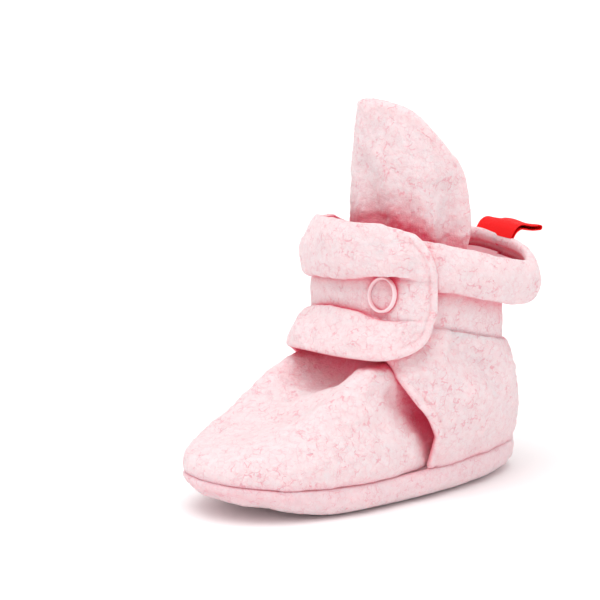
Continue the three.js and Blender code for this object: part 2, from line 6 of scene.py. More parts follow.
import bmesh
import bpy
import numpy as np
from mathutils import Matrix, Vector
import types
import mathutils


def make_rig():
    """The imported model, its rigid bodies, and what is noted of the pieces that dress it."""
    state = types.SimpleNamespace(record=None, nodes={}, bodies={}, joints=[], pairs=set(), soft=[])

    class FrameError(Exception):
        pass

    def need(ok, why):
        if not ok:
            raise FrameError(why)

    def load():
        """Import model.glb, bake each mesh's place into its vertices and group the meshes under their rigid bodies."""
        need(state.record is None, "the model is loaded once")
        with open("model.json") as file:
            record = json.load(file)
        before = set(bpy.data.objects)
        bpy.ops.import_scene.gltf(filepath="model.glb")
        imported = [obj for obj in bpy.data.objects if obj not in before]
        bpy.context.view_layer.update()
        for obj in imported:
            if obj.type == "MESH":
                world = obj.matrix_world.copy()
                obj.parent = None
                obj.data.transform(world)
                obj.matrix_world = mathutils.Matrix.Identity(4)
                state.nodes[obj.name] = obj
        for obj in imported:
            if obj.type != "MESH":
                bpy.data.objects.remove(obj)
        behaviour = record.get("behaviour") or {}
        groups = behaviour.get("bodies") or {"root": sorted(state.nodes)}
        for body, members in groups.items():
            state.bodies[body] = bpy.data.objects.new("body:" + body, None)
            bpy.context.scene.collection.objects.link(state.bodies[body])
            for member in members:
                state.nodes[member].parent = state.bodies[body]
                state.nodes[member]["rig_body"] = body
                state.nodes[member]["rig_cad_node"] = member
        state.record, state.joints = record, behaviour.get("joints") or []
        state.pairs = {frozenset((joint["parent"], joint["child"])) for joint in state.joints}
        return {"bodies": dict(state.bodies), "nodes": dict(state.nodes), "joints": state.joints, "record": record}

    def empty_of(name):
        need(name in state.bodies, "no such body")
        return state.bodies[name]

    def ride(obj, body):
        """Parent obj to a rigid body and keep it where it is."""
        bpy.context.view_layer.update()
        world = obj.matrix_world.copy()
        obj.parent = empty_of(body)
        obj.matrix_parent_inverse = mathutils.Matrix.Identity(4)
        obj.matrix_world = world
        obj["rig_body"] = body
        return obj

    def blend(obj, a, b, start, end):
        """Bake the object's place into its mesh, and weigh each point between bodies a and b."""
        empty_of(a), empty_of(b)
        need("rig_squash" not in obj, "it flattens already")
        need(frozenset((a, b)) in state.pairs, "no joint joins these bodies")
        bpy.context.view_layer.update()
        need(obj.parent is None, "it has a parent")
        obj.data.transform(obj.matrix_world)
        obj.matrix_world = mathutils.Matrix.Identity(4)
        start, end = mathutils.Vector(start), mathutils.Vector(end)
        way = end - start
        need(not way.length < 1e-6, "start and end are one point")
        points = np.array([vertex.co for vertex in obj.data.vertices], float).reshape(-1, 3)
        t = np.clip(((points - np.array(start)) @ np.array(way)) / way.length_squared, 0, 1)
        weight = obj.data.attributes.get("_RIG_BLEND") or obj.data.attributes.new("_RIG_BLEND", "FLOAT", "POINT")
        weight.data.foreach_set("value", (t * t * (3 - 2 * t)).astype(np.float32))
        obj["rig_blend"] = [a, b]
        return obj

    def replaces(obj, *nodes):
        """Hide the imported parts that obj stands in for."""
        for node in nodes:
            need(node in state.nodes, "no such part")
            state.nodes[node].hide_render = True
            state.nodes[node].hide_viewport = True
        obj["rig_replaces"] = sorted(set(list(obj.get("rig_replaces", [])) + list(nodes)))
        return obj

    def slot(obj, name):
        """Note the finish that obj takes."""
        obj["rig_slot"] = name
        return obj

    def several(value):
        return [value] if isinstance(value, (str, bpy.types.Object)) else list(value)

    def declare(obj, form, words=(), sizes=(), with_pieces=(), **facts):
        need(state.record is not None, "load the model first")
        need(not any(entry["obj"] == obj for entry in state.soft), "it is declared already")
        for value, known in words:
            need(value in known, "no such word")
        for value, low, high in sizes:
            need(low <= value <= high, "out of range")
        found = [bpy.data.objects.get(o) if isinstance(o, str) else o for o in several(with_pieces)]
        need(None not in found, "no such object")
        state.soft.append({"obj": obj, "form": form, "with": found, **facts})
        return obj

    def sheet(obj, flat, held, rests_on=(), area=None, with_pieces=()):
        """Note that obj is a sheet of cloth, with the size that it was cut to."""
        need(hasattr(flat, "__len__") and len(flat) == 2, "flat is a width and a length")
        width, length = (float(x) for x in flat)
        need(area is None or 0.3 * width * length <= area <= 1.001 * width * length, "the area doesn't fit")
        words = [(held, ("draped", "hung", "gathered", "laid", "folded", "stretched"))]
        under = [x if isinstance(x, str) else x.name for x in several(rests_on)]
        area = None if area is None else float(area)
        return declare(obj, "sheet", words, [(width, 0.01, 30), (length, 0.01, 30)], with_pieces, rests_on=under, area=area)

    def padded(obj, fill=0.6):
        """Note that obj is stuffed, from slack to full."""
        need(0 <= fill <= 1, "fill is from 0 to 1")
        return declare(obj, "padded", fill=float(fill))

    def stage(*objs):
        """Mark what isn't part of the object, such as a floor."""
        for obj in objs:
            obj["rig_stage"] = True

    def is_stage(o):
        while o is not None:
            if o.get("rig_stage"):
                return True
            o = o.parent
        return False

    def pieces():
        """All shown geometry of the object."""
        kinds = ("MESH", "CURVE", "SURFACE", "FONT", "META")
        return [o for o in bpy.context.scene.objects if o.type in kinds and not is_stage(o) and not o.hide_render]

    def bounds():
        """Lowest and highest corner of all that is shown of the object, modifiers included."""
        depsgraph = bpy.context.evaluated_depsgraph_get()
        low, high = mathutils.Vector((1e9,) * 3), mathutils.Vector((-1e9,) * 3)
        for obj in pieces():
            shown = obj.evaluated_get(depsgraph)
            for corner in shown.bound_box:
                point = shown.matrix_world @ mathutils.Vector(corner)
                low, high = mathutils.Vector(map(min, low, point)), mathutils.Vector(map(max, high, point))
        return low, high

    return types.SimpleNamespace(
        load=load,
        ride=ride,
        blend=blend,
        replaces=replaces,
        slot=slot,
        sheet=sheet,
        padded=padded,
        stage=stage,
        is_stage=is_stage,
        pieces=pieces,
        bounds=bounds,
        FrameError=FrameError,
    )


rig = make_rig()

MM = 0.001
RAD = math.pi / 180

# ---------------------------------------------------------------- driving dimensions, mm
FLEECE = 1.8               # brushed fleece, thickness
JERSEY = 0.6               # smooth lining, thickness
FACED_EDGE = 2.85          # folded edge of fleece with its lining inside
FACING = 4.0               # how far the fleece turns in behind an edge
LINING_IN = 2.25           # face of the lining, measured inward from the fleece
LINING_BACK = 3.3          # how far a lining stops short of the fleece's edge
HEM = 2.7                  # from an edge to the furrow beside it
END_MIDDLE = 1.5           # height on the cloth of the middle of a flap's end
END_FLAT = 0.14            # share of a flap's end that is straight
END_ROUND = 29.0           # degrees over which the upper corner of a flap's end rounds off
END_ROUND_LOW = 34.0       # the same at its lower corner
TOE_SPRING = 3.2
LABEL_WIDTH = 16.0
LABEL_Y, LABEL_Z = 51.4, 67.4
LABEL_LENGTH = 11.2
SOLE_HALF = 54.5
SOLE_N = 2.3
SOLE_WIDE = 23.4
SOLE_BACKSET = 4.2
ANKLE_Y = 22.0
ANKLE_X_HALF = 24.0
ANKLE_Y_HALF = 22.6
ANKLE_N = 2.5
BAND_HALF = 5.6
RIM = 23.0
HEEL_PEAK = 3.6
BACK_SWELL = 1.6
WALL_RUN = 45.0            # cloth coordinate from the band's lower line to the sole seam
TURN_SHARE = 0.70          # turn round the sole for each degree round the ankle
FLAP_TALL = 54.0           # cloth height by which a flap's rows are spaced
SEAM_ROW = -BAND_HALF - WALL_RUN
HINGE = 61.0               # degrees from the front, both sides
ELASTIC_END = 75.0         # degrees from the front, clear of the flaps' bend
ELASTIC_WIDTH = 8.0
OUTER_END = 64.0
UNDER_END = -6.0
OVERLAP = 5.6              # outer flap's face above the under flap's face
SNAP_ANGLE = 34.5
SNAP_ALONG = -0.5
THROAT_ANGLE = 70.0
THROAT_Z = 42.5
VAMP_END = 104.0
TONGUE_SEAM = 40.8
TONGUE_TOP = 111.2
PER_DEGREE = 0.44          # cloth length of one degree round the ankle
STITCH_PITCH = 2.7
PAINTED_SHADE_REACH = 0.018       # metres over which painted shade darkens the hollows of the cloth


# ---------------------------------------------------------------- small maths
def spow(v, p):
    return np.sign(v) * np.abs(v) ** p


def mix(a, b, t):
    return a + (b - a) * t


def smooth(a, b, x):
    t = np.clip((x - a) / (b - a), 0, 1)
    return t * t * (3 - 2 * t)


def bell(x, width):
    return np.exp(-((x / width) ** 2))


def curve(xs, ys):
    """Smooth curve through points, flat outside them."""
    xs, ys = np.array(xs, float), np.array(ys, float)
    last = len(xs) - 1
    lo, hi = np.maximum(np.arange(last + 1) - 1, 0), np.minimum(np.arange(last + 1) + 1, last)
    slope = (ys[hi] - ys[lo]) / (xs[hi] - xs[lo])

    def at(x):
        x = np.clip(x, xs[0], xs[-1])
        i = np.clip(np.searchsorted(xs, x) - 1, 0, last - 1)
        h = xs[i + 1] - xs[i]
        t = (x - xs[i]) / h
        return (
            (2 * t**3 - 3 * t**2 + 1) * ys[i]
            + (t**3 - 2 * t**2 + t) * h * slope[i]
            + (3 * t**2 - 2 * t**3) * ys[i + 1]
            + (t**3 - t**2) * h * slope[i + 1]
        )

    return at


def hashed(cell, k):
    v = np.sin(cell @ np.array([127.1, 311.7, 74.7]) + k * 19.19) * 43758.5453
    return 2 * (v - np.floor(v)) - 1


def noise(p, size, seed=0.0):
    """Gradient noise of points p (mm), about -1 to 1, with lumps about size mm across."""
    q = p / size + seed * 7.31
    base = np.floor(q)
    f = q - base
    u = f * f * f * (f * (f * 6 - 15) + 10)
    total = 0
    for dx in (0, 1):
        for dy in (0, 1):
            for dz in (0, 1):
                corner = np.array([dx, dy, dz], float)
                cell = base + corner
                grad = np.stack([hashed(cell, k) for k in (0, 1, 2)], -1)
                w = np.prod(np.where(corner == 1, u, 1 - u), -1)
                total = total + w * np.sum(grad * (f - corner), -1)
    return 1.6 * total


def fold(p, a, b, width, height, push):
    """Moves the cloth near the line from a to b by height along push, fading out over width."""
    a, b, push = (np.array(v, float) for v in (a, b, push))
    t = np.clip(((p - a) @ (b - a)) / ((b - a) @ (b - a)), 0, 1)
    near = np.linalg.norm(p - a - t[..., None] * (b - a), axis=-1)
    return p + (height * bell(near, width))[..., None] * push / np.linalg.norm(push)


# ---------------------------------------------------------------- the shoe's surfaces
seam_height = curve([-54.5, -35, 0, 54.5], [10.8, 9.0, 8.4, 9.4])
band_height = curve([-12, -2, 9.5, 25, 41.4, 48], [56.6, 56.2, 55.2, 51.3, 46.8, 45.4])
ALONG_CUFF = [0, 4.4, 6.6, 9, 13, 17, 20.5, 23]
cuff_front_out = curve(ALONG_CUFF, [0, 0, 1.3, 3.4, 4.4, 3.8, 2.0, 0])
cuff_front_up = curve(ALONG_CUFF, [0, 4.4, 4.8, 5.6, 9.4, 14.0, 17.6, 19])
cuff_back_out = curve(ALONG_CUFF, [0, 0, 1.8, 5.0, 9.0, 11.0, 10.5, 8.2])
cuff_back_up = curve(ALONG_CUFF, [0, 4.4, 4.4, 4.3, 6.0, 9.8, 14.2, 17.9])
ALONG_SKIRT = [0, 4.4, 6.6, 8.2, 11, 14, 18, 20, 24]
skirt_out = curve(ALONG_SKIRT, [0, 0, 1.1, 2.6, 5.2, 7.0, 8.0, 8.2, 8.4])
skirt_down = curve(ALONG_SKIRT, [0, 4.4, 5.1, 5.9, 8.6, 11.6, 15.6, 17.4, 20.6])
wall_spread = curve([0, 0.15, 0.35, 0.6, 0.85, 1], [0, 0.06, 0.22, 0.55, 0.88, 1])
outer_low = curve([-61, -50, -38, -20, 5, 30, 50, 64], [-31, -24.5, -19.8, -18.8, -18.8, -18.0, -16.8, -16.2])
under_low = curve([-6, 20, 33, 41, 50, 56, 61], [-17.5, -17.5, -20.5, -27.0, -31, -34.5, -40])
tongue_apex = curve([42.5, 46, 50, 60, 77, 90, 111.2], [1.2, 3.2, 4.6, 5.0, 4.8, 5.0, 7.2])
tongue_half_x = curve([42.5, 50, 77, 111.2], [19.2, 18.5, 18.4, 17.0])
tongue_reach = curve(
    [42.5, 50, 60, 70, 77, 90, 99, 105, 109, 110.6, 111.2],
    [THROAT_ANGLE, 74, 88, 101, 105, 99, 84, 64, 43, 25, 8],
)
crest_rise = curve([0, 0.03, 0.08, 0.2, 0.4, 0.65, 0.85, 1], [0, 0.13, 0.21, 0.29, 0.39, 0.56, 0.74, 1])


def seam(turn):
    """Sole outline at its seam: turn 0 at the toe, 90 on the +X side."""
    c, s = np.cos(turn * RAD), np.sin(turn * RAD)
    y = -SOLE_HALF * spow(c, 2 / SOLE_N)
    half = SOLE_WIDE - SOLE_BACKSET * y / SOLE_HALF
    return half * spow(s, 2 / SOLE_N), y, seam_height(y)


def seam_out(turn):
    xa, ya, _ = seam(turn - 0.1)
    xb, yb, _ = seam(turn + 0.1)
    length = np.hypot(xb - xa, yb - ya)
    return (yb - ya) / length, -(xb - xa) / length


def ankle(angle):
    """Ankle outline and its outward direction: angle 0 at the front, positive to +X."""
    c, s = np.cos(angle * RAD), np.sin(angle * RAD)
    nx = spow(s, 2 - 2 / ANKLE_N) / ANKLE_X_HALF
    ny = -spow(c, 2 - 2 / ANKLE_N) / ANKLE_Y_HALF
    length = np.hypot(nx, ny)
    x = ANKLE_X_HALF * spow(s, 2 / ANKLE_N)
    y = ANKLE_Y - ANKLE_Y_HALF * spow(c, 2 / ANKLE_N)
    return x, y, nx / length, ny / length


def pressed(angle, along):
    """The snap holds the cloth flat and turned a little to the front."""
    w = PER_DEGREE * (angle - SNAP_ANGLE)
    return (0.34 * w + w * w / 36 - 0.26 * along) * np.exp(-(w * w + along * along) / 90)


def swollen(angle):
    """1 at the back of the rim, a little to the far side of the tag, where the roll is fattest."""
    return bell(np.where(angle > 0, angle - 360, angle) + 166, 22)


def collar(angle, along, stand, lift, flat=0.0):
    """The collar's cloth. Where flat is 1 the cuff and the skirt lie flat instead of rolling out."""
    x, y, nx, ny = ankle(angle)
    up, down = np.maximum(along, 0), np.maximum(-along, 0)
    to_back = (1 - np.cos(angle * RAD)) / 2
    back = smooth(0.3, 0.95, to_back)
    rolled = mix(cuff_front_out(up), cuff_back_out(up), back) + skirt_out(down)
    out = rolled * (1 - flat) + stand + pressed(angle, along)
    rise = mix(cuff_front_up(up), cuff_back_up(up), back) - skirt_down(down)
    rise = mix(rise, along, flat)
    rise = rise + (HEEL_PEAK * smooth(0.85, 1, to_back) + BACK_SWELL * swollen(angle)) * (up / RIM) ** 2
    return np.stack([x + nx * out, y + ny * out, band_height(y) + rise + lift], -1)


def wall(angle, share, stand, flat):
    """Wall of the shoe from the band's lower line (share 0) to the sole seam (share 1)."""
    a = np.abs(angle)
    top = collar(angle, np.full_like(share, -BAND_HALF), stand, 0, flat)
    turn = np.sign(angle) * (180 - (180 - a) * TURN_SHARE)
    fx, fy, fz = seam(turn)
    ox, oy = seam_out(turn)
    outward = wall_spread(share)
    swell = 3.2 + 1.0 * smooth(110, 61, a)
    early = mix(1.25, 0.8, smooth(90, 150, a))
    puff = swell * np.sin(math.pi * np.clip(share, 0, 1) ** early) + 1.0 * outward
    x = mix(top[..., 0], fx, outward) + ox * puff
    y = mix(top[..., 1], fy, outward) + oy * puff
    return np.stack([x, y, mix(top[..., 2], fz, share)], -1)


def outer_lift(angle):
    return 2.6 * smooth(-50, 10, angle) - 0.8 * smooth(-HINGE, -45, angle)


def collar_and_wall(angle, along, stand, lift, flat=0.0):
    """Cloth of quarter and flap in one: a free skirt in front, the shoe's wall behind the hinge."""
    above = collar(angle, along, stand, lift, flat)
    fixed = wall(angle, (-BAND_HALF - along) / WALL_RUN, stand, flat)
    fixed[..., 2] += lift
    k = smooth(20, HINGE, np.abs(angle)) * (along < -BAND_HALF)
    return mix(above, fixed, k[..., None])


def near_side(angle, along):
    p = collar_and_wall(angle, along, 0 * angle, 2.8 * smooth(58, 36, angle))
    p = fold(p, (27, 18, 42), (29, 32, 34), 4.4, -2.3, (1, 0, 0.1))
    return fold(p, (28, 12, 32), (30, 28, 23), 5.5, 1.1, (1, 0, 0))


def far_side(angle, along):
    stand = 3 * smooth(-150, -HINGE, angle) + (OVERLAP - 3) * smooth(-HINGE, -35, angle)
    leaning = smooth(15, -30, angle) * smooth(-130, -75, angle)
    stand = stand - leaning * (1.6 * bell(along - 13, 6.0) + 2.8 * smooth(14, RIM, along))
    lift = np.where(angle > -HINGE, outer_lift(angle), 0)
    lift = lift + 2.6 * smooth(8, 22, along) * smooth(-80, -45, angle) * (1 - 0.6 * smooth(10, 50, angle))
    raised_end = 1.2 * smooth(5, 30, angle) * smooth(-9, 0, along)
    lift = lift + raised_end * (1 - smooth(30, 60, angle) * smooth(8, 20, along))
    beside_snap = 1 - bell(PER_DEGREE * (angle - SNAP_ANGLE), 6.0)
    lower_roll = 1.8 * bell(along + 7.4, 1.9) * smooth(-38, 0, angle) * beside_snap
    upper_roll = 0.9 * bell(along - 7.2, 2.0) * smooth(25, -5, angle) * smooth(-75, -55, angle)
    upper_roll = upper_roll - 1.2 * bell(along - 7.2, 2.2) * (1 - beside_snap)
    flat = 0.70 * smooth(34, OUTER_END, angle)
    return collar_and_wall(angle, along, stand, lift + lower_roll - upper_roll, flat)


def tongue_sheet(share, z):
    a = share * tongue_reach(z) * RAD
    depth = ANKLE_Y - tongue_apex(z)
    x = tongue_half_x(z) * spow(np.sin(a), 2 / ANKLE_N)
    y = ANKLE_Y - depth * spow(np.cos(a), 2 / ANKLE_N)
    return np.stack([x, y, z - 4.5 * share * share * smooth(60, THROAT_Z, z)], -1)


def vamp_sheet(turn, share):
    fx, fy, fz = seam(turn)
    ox, oy = seam_out(turn)
    top = tongue_sheet(turn / VAMP_END, np.full_like(share, THROAT_Z))
    side = smooth(0, 70, np.abs(turn))
    reach = spow(share, 1.35)
    across = mix(reach, spow(share, 1.9), side)
    rise = mix(crest_rise(reach), spow(np.sin(share * math.pi / 2), 1.35), side)
    inset = 2.6 * smooth(82, 97, np.abs(turn))
    puff = 0.5 * smooth(1, 0.9, share) + 2.0 * np.sin(math.pi * np.clip(share / 0.42, 0, 1))
    puff = puff - inset * (1 - across)
    x = mix(fx, top[..., 0], across) + ox * puff
    y = mix(fy, top[..., 1], across) + oy * puff
    return np.stack([x, y, mix(fz, top[..., 2], rise)], -1)


# ---------------------------------------------------------------- meshes
def surface_normal(surface, us, vs, eps):
    du = surface(us + eps[0], vs) - surface(us - eps[0], vs)
    dv = surface(us, vs + eps[1]) - surface(us, vs - eps[1])
    n = np.cross(du, dv)
    length = np.linalg.norm(n, axis=-1, keepdims=True)
    return np.where(length > 1e-9, n / np.maximum(length, 1e-12), np.array([0, 0, -1.0]))


def dense(points, step=0.3):
    """The same line with points every step mm."""
    points = np.asarray(points, float)
    length = np.concatenate([[0], np.cumsum(np.linalg.norm(np.diff(points, axis=0), axis=1))])
    at = np.linspace(0, length[-1], max(int(length[-1] / step), 2))
    return np.stack([np.interp(at, length, points[:, k]) for k in range(points.shape[1])], -1)


def distance_to(line, p):
    """Distance of points p to a line given by close points, all in mm."""
    if line is None:
        return np.full(p.shape[:-1], 99.0)
    flat = p.reshape(-1, 3)
    nearest = np.empty(len(flat), int)
    for a in range(0, len(flat), 4000):
        part = flat[a : a + 4000]
        square = (line**2).sum(1)[None] - 2 * part @ line.T
        nearest[a : a + 4000] = square.argmin(1)
    found = np.full(len(flat), 1e9)
    for shift in (-1, 0):
        i = np.clip(nearest + shift, 0, len(line) - 2)
        a, d = line[i], line[i + 1] - line[i]
        t = np.clip(((flat - a) * d).sum(1) / np.maximum((d * d).sum(1), 1e-12), 0, 1)
        found = np.minimum(found, np.linalg.norm(flat - a - t[:, None] * d, axis=1))
    return np.maximum(found - 0.02, 0).reshape(p.shape[:-1])


def mesh_object(name, points, faces, material, crease=None):
    """Closed mesh from points in mm, smooth shaded. The materials read its rest positions and its crease marks, which
    paint shade into the creases.
    """
    mesh = bpy.data.meshes.new(name)
    mesh.from_pydata((np.asarray(points) * MM).tolist(), [], faces)
    rest = np.asarray(points, np.float32).reshape(-1)
    mesh.attributes.new("rest", "FLOAT_VECTOR", "POINT").data.foreach_set("vector", rest)
    # crease: per-point amount of painted shade in the creases, read by the fleece materials
    crease_shade = np.zeros(len(points), np.float32) if crease is None else np.asarray(crease, np.float32)
    mesh.attributes.new("crease", "FLOAT", "POINT").data.foreach_set("value", crease_shade)
    bm = bmesh.new()
    bm.from_mesh(mesh)
    bmesh.ops.remove_doubles(bm, verts=bm.verts, dist=3e-6)
    bmesh.ops.recalc_face_normals(bm, faces=bm.faces)
    bm.to_mesh(mesh)
    bm.free()
    mesh.polygons.foreach_set("use_smooth", np.ones(len(mesh.polygons), bool))
    mesh.set_sharp_from_angle(angle=math.radians(62))
    o = bpy.data.objects.new(name, mesh)
    bpy.context.scene.collection.objects.link(o)
    mesh.materials.append(material)
    return o


def grid_faces(nu, nv, start, flip):
    i, j = np.meshgrid(np.arange(nu - 1), np.arange(nv - 1), indexing="ij")
    a = (start + i * nv + j).ravel()
    quads = np.stack([a, a + nv, a + nv + 1, a + 1], -1)
    return quads[:, ::-1] if flip else quads


def border_faces(nu, nv, start, sides):
    """Quads that join the outer and the inner grid along the named sides."""
    size = nu * nv
    lines = {
        "first": np.arange(nv),
        "last": (nu - 1) * nv + np.arange(nv)[::-1],
        "low": np.arange(nu)[::-1] * nv,
        "high": np.arange(nu) * nv + nv - 1,
    }
    strips = [np.zeros((0, 4), int)]
    for side in sides:
        a, b = lines[side][:-1] + start, lines[side][1:] + start
        strips.append(np.stack([a, b, b + size, a + size], -1))
    return np.concatenate(strips)


def rounding(d, radius):
    return np.sqrt(1 - (1 - np.clip(d / radius, 0, 1)) ** 2)


def panel(name, surface, blocks, material, faced=None, seamed=None, depth=0.0, thick=FLEECE, relief=None,
          crease=None, eps=(0.05, 0.02)):
    """Closed cloth panel on a surface. blocks are grids (us, vs, sides that need a border). faced and seamed
    are lines in surface coordinates: edges folded over the lining, and edges that round off into a seam."""
    lines = [None if line is None else dense(surface(*np.asarray(line, float).T)) for line in (faced, seamed)]
    points, faces, crease_shade, start = [], [], [], 0
    for us, vs, sides in blocks:
        p, n = surface(us, vs), surface_normal(surface, us, vs, eps)
        d_faced, d_seam = distance_to(lines[0], p), distance_to(lines[1], p)
        folded_over = 1 - smooth(FACING - 1, FACING, d_faced)
        half = mix(thick, max(FACED_EDGE, thick), folded_over) / 2
        inward = depth(us, vs) if callable(depth) else depth
        middle = p - n * (inward + half)[..., None]
        close = rounding(d_faced, half) * rounding(d_seam, thick * 0.6)
        raised = relief(p, us, vs, d_faced, d_seam) if relief else 0
        points.append((middle + n * ((half + raised) * close)[..., None]).reshape(-1, 3))
        points.append((middle - n * (half * close)[..., None]).reshape(-1, 3))
        crease_shade_here = crease(p, us, vs, d_faced, d_seam) if crease else np.zeros(us.shape)
        crease_shade += [crease_shade_here.ravel(), 0 * crease_shade_here.ravel()]
        nu, nv = us.shape
        faces += [grid_faces(nu, nv, start, False), grid_faces(nu, nv, start + nu * nv, True)]
        faces.append(border_faces(nu, nv, start, sides))
        start += 2 * nu * nv
    return mesh_object(name, np.concatenate(points), np.concatenate(faces).tolist(), material,
                       np.concatenate(crease_shade))


def spread(length, step, fine_low=True, fine_high=True):
    """Shares from 0 to 1 along a length in mm, close together next to a rounded edge."""
    fine = np.array([0, 0.04, 0.15, 0.35, 0.65]) * FACED_EDGE / 2
    low = fine if fine_low else np.array([0.0])
    high = length - fine[::-1] if fine_high else np.array([length])
    count = max(int((high[0] - low[-1]) / step), 2)
    return np.concatenate([low, np.linspace(low[-1], high[0], count + 1)[1:-1], high]) / length


def turned(axis_z):
    """Rotation that takes +Z onto a direction."""
    return Vector(axis_z).to_track_quat("Z", "Y").to_matrix()


def lathed(name, profile, matrix, material, segments=72):
    """Closed ring turned round local Z from a closed profile of (radius, height) in mm."""
    profile = np.asarray(profile, float)
    angles = np.linspace(0, 2 * math.pi, segments, endpoint=False)
    ring = [(r * math.cos(a), r * math.sin(a), z) for a in angles for r, z in profile]
    placed = [matrix @ Vector(p) for p in ring]
    n = len(profile)
    faces = []
    for i in range(segments):
        for j in range(n):
            a, b = i * n, ((i + 1) % segments) * n
            faces.append((a + j, b + j, b + (j + 1) % n, a + (j + 1) % n))
    return mesh_object(name, placed, faces, material)


# ---------------------------------------------------------------- lumps and creases of the cloth, and the painted shade in its creases
def lumps(p, size=1.0):
    coarse = 0.48 * noise(p, 9.0, 1) + 0.30 * noise(p, 4.2, 2)
    return size * (coarse + 0.20 * noise(p, 1.9, 3) + 0.12 * noise(p, 1.0, 4))


def band_crease(along):
    return bell(np.abs(along) - BAND_HALF, 0.9)


def near_end(angle):
    """1 close to the outer flap's end and on the cloth under it."""
    return smooth(38, 56, angle) * (angle <= OUTER_END)


def collar_relief(p, angle, along, d_faced, d_seam):
    free = smooth(6, 10, np.abs(along))
    round_leg = np.abs(angle) * PER_DEGREE
    cloth_xy = np.stack([round_leg, along * 0.35, 0 * along], -1)
    puckers = 0.30 * noise(cloth_xy, 2.6, 5) * bell(np.abs(along) - BAND_HALF, 3.0)
    slant = np.stack([(round_leg + along) * 0.35, (round_leg - along) * 0.9, 0 * along], -1)
    rolls = 0.5 * noise(slant, 5.0, 9) * free
    hem = -0.4 * bell(d_faced - HEM, 0.42) * smooth(38, 50, angle) * (angle < HINGE + 8)
    crease = band_crease(along) * (1 - 0.8 * near_end(angle))
    return lumps(p, 0.35 + 0.65 * free) + puckers + rolls + hem - 0.75 * crease


# Painted shade: how much the colour darkens in the band's creases, in the furrow beside the flap's end and along the
# sole seam.
def collar_crease_shade(p, angle, along, d_faced, d_seam):
    at_end = near_end(angle)
    crease_shade = 0.9 * band_crease(along) * (1 - 0.8 * at_end) + 0.25 * bell(d_faced - HEM, 0.5) * at_end
    return np.clip(crease_shade + bell(d_seam, 1.3), 0, 1)


def plain_relief(p, us, vs, d_faced, d_seam):
    return lumps(p)


# Painted shade: how much the colour darkens along the seams and, faintly, in the furrow beside a folded edge.
def plain_crease_shade(p, us, vs, d_faced, d_seam):
    return np.clip(bell(d_seam, 1.3) + 0.1 * bell(d_faced - HEM, 0.5), 0, 1)


# ---------------------------------------------------------------- side panels and flaps
def corner(x):
    return (1 - np.clip(x, 0, 1) ** 2.1) ** (1 / 2.1)


def flap_rows(angles, shares, low, end):
    """Cloth coordinates of a flap's rows; the lower edge and the rim close in at its end."""
    from_end = end - angles if end > 0 else angles - end
    row = mix(low(angles), RIM, shares) - END_MIDDLE
    turn = np.where(row < 0, END_ROUND_LOW, END_ROUND)
    return END_MIDDLE + row * mix(END_FLAT, 1, corner(1 - from_end / turn))


def flap_columns(degrees, step):
    """Shares from 0 at the hinge to 1 at the flap's end, close together at both."""
    turn = END_ROUND_LOW / degrees
    count = int(degrees * PER_DEGREE * (1 - turn) / (step * 0.72))
    straight = np.linspace(0, 1, count + 1)
    straight = mix(straight, straight**1.7, 0.6)
    t = np.linspace(0, 1, int(END_ROUND_LOW * PER_DEGREE / (step * 0.62)) + 1)
    rounded = mix(t, np.sin(t * math.pi / 2), 0.75)
    return np.concatenate([straight[:-1] * (1 - turn), 1 - turn + rounded * turn])


def side_blocks(sign, end, low, step, inset=0.0):
    """Grids of half a quarter and its flap, and the lines round them: (blocks, faced line, seamed line)."""
    hinge = sign * HINGE
    back = inset / PER_DEGREE

    def lower(angles):
        return low(angles - sign * back)

    reach = abs(end - hinge) - back
    shares = spread(FLAP_TALL, step)
    turn_row = lower(np.array([hinge]))[0]
    rows = mix(inset / FLAP_TALL, 1 - inset / FLAP_TALL, shares)
    flap_cols = hinge - sign * reach * flap_columns(reach, step)
    back_cols = hinge + sign * (180 - HINGE) * spread((180 - HINGE) * PER_DEGREE, step * 1.15, True, False)
    low_rows = SEAM_ROW + (turn_row - SEAM_ROW) * spread(turn_row - SEAM_ROW, step, True, False)
    if sign < 0:
        back_cols = back_cols[::-1]
    else:
        flap_cols = flap_cols[::-1]
    front_end, back_end = ("first", "last") if sign > 0 else ("last", "first")
    blocks = []
    us, vs = np.meshgrid(flap_cols, rows, indexing="ij")
    blocks.append((us, flap_rows(us, vs, lower, end), ("low", "high", front_end)))
    us, vs = np.meshgrid(back_cols, mix(turn_row, RIM, rows), indexing="ij")
    blocks.append((us, vs, ("high", back_end)))
    us, vs = np.meshgrid(back_cols, np.append(low_rows[:-1], mix(turn_row, RIM, rows[0])), indexing="ij")
    drawn_back = sign * back * smooth(turn_row, turn_row - 4, vs) * smooth(60, 0, np.abs(us - hinge))
    blocks.append((us + drawn_back, vs, ("low", back_end, front_end)))
    across = flap_cols if sign < 0 else flap_cols[::-1]
    ends = np.full(60, hinge - sign * reach)
    front_rows = np.linspace(SEAM_ROW, turn_row, 40)
    front = np.stack([hinge + sign * back * smooth(turn_row, turn_row - 4, front_rows), front_rows], -1)
    bottom = np.stack([across, flap_rows(across, rows[0], lower, end)], -1)
    tip = np.stack([ends, flap_rows(ends, np.linspace(rows[0], rows[-1], 60), lower, end)], -1)
    upper = np.stack([across, flap_rows(across, rows[-1], lower, end)], -1)[::-1]
    rim = np.stack([np.linspace(hinge, sign * 180, 300), np.full(300, mix(turn_row, RIM, rows[-1]))], -1)
    faced = np.concatenate([front, bottom, tip, upper, rim])
    seamed = np.stack([np.linspace(hinge, sign * 180, 300), np.full(300, SEAM_ROW)], -1)
    return blocks, faced, seamed


def past_elastic(us, vs):
    """Depth of the lining: further in at the creases and where the elastic lies in front of it."""
    behind = 0.9 * smooth(BAND_HALF + 3, BAND_HALF, np.abs(vs)) * smooth(HINGE - 3, HINGE, np.abs(us))
    plump = 1.6 * bell(vs - 15.5, 4.0) * smooth(85, 125, np.abs(us))
    return LINING_IN + np.maximum(behind, 0.35 * bell(np.abs(vs) - 6.6, 2.6)) + plump


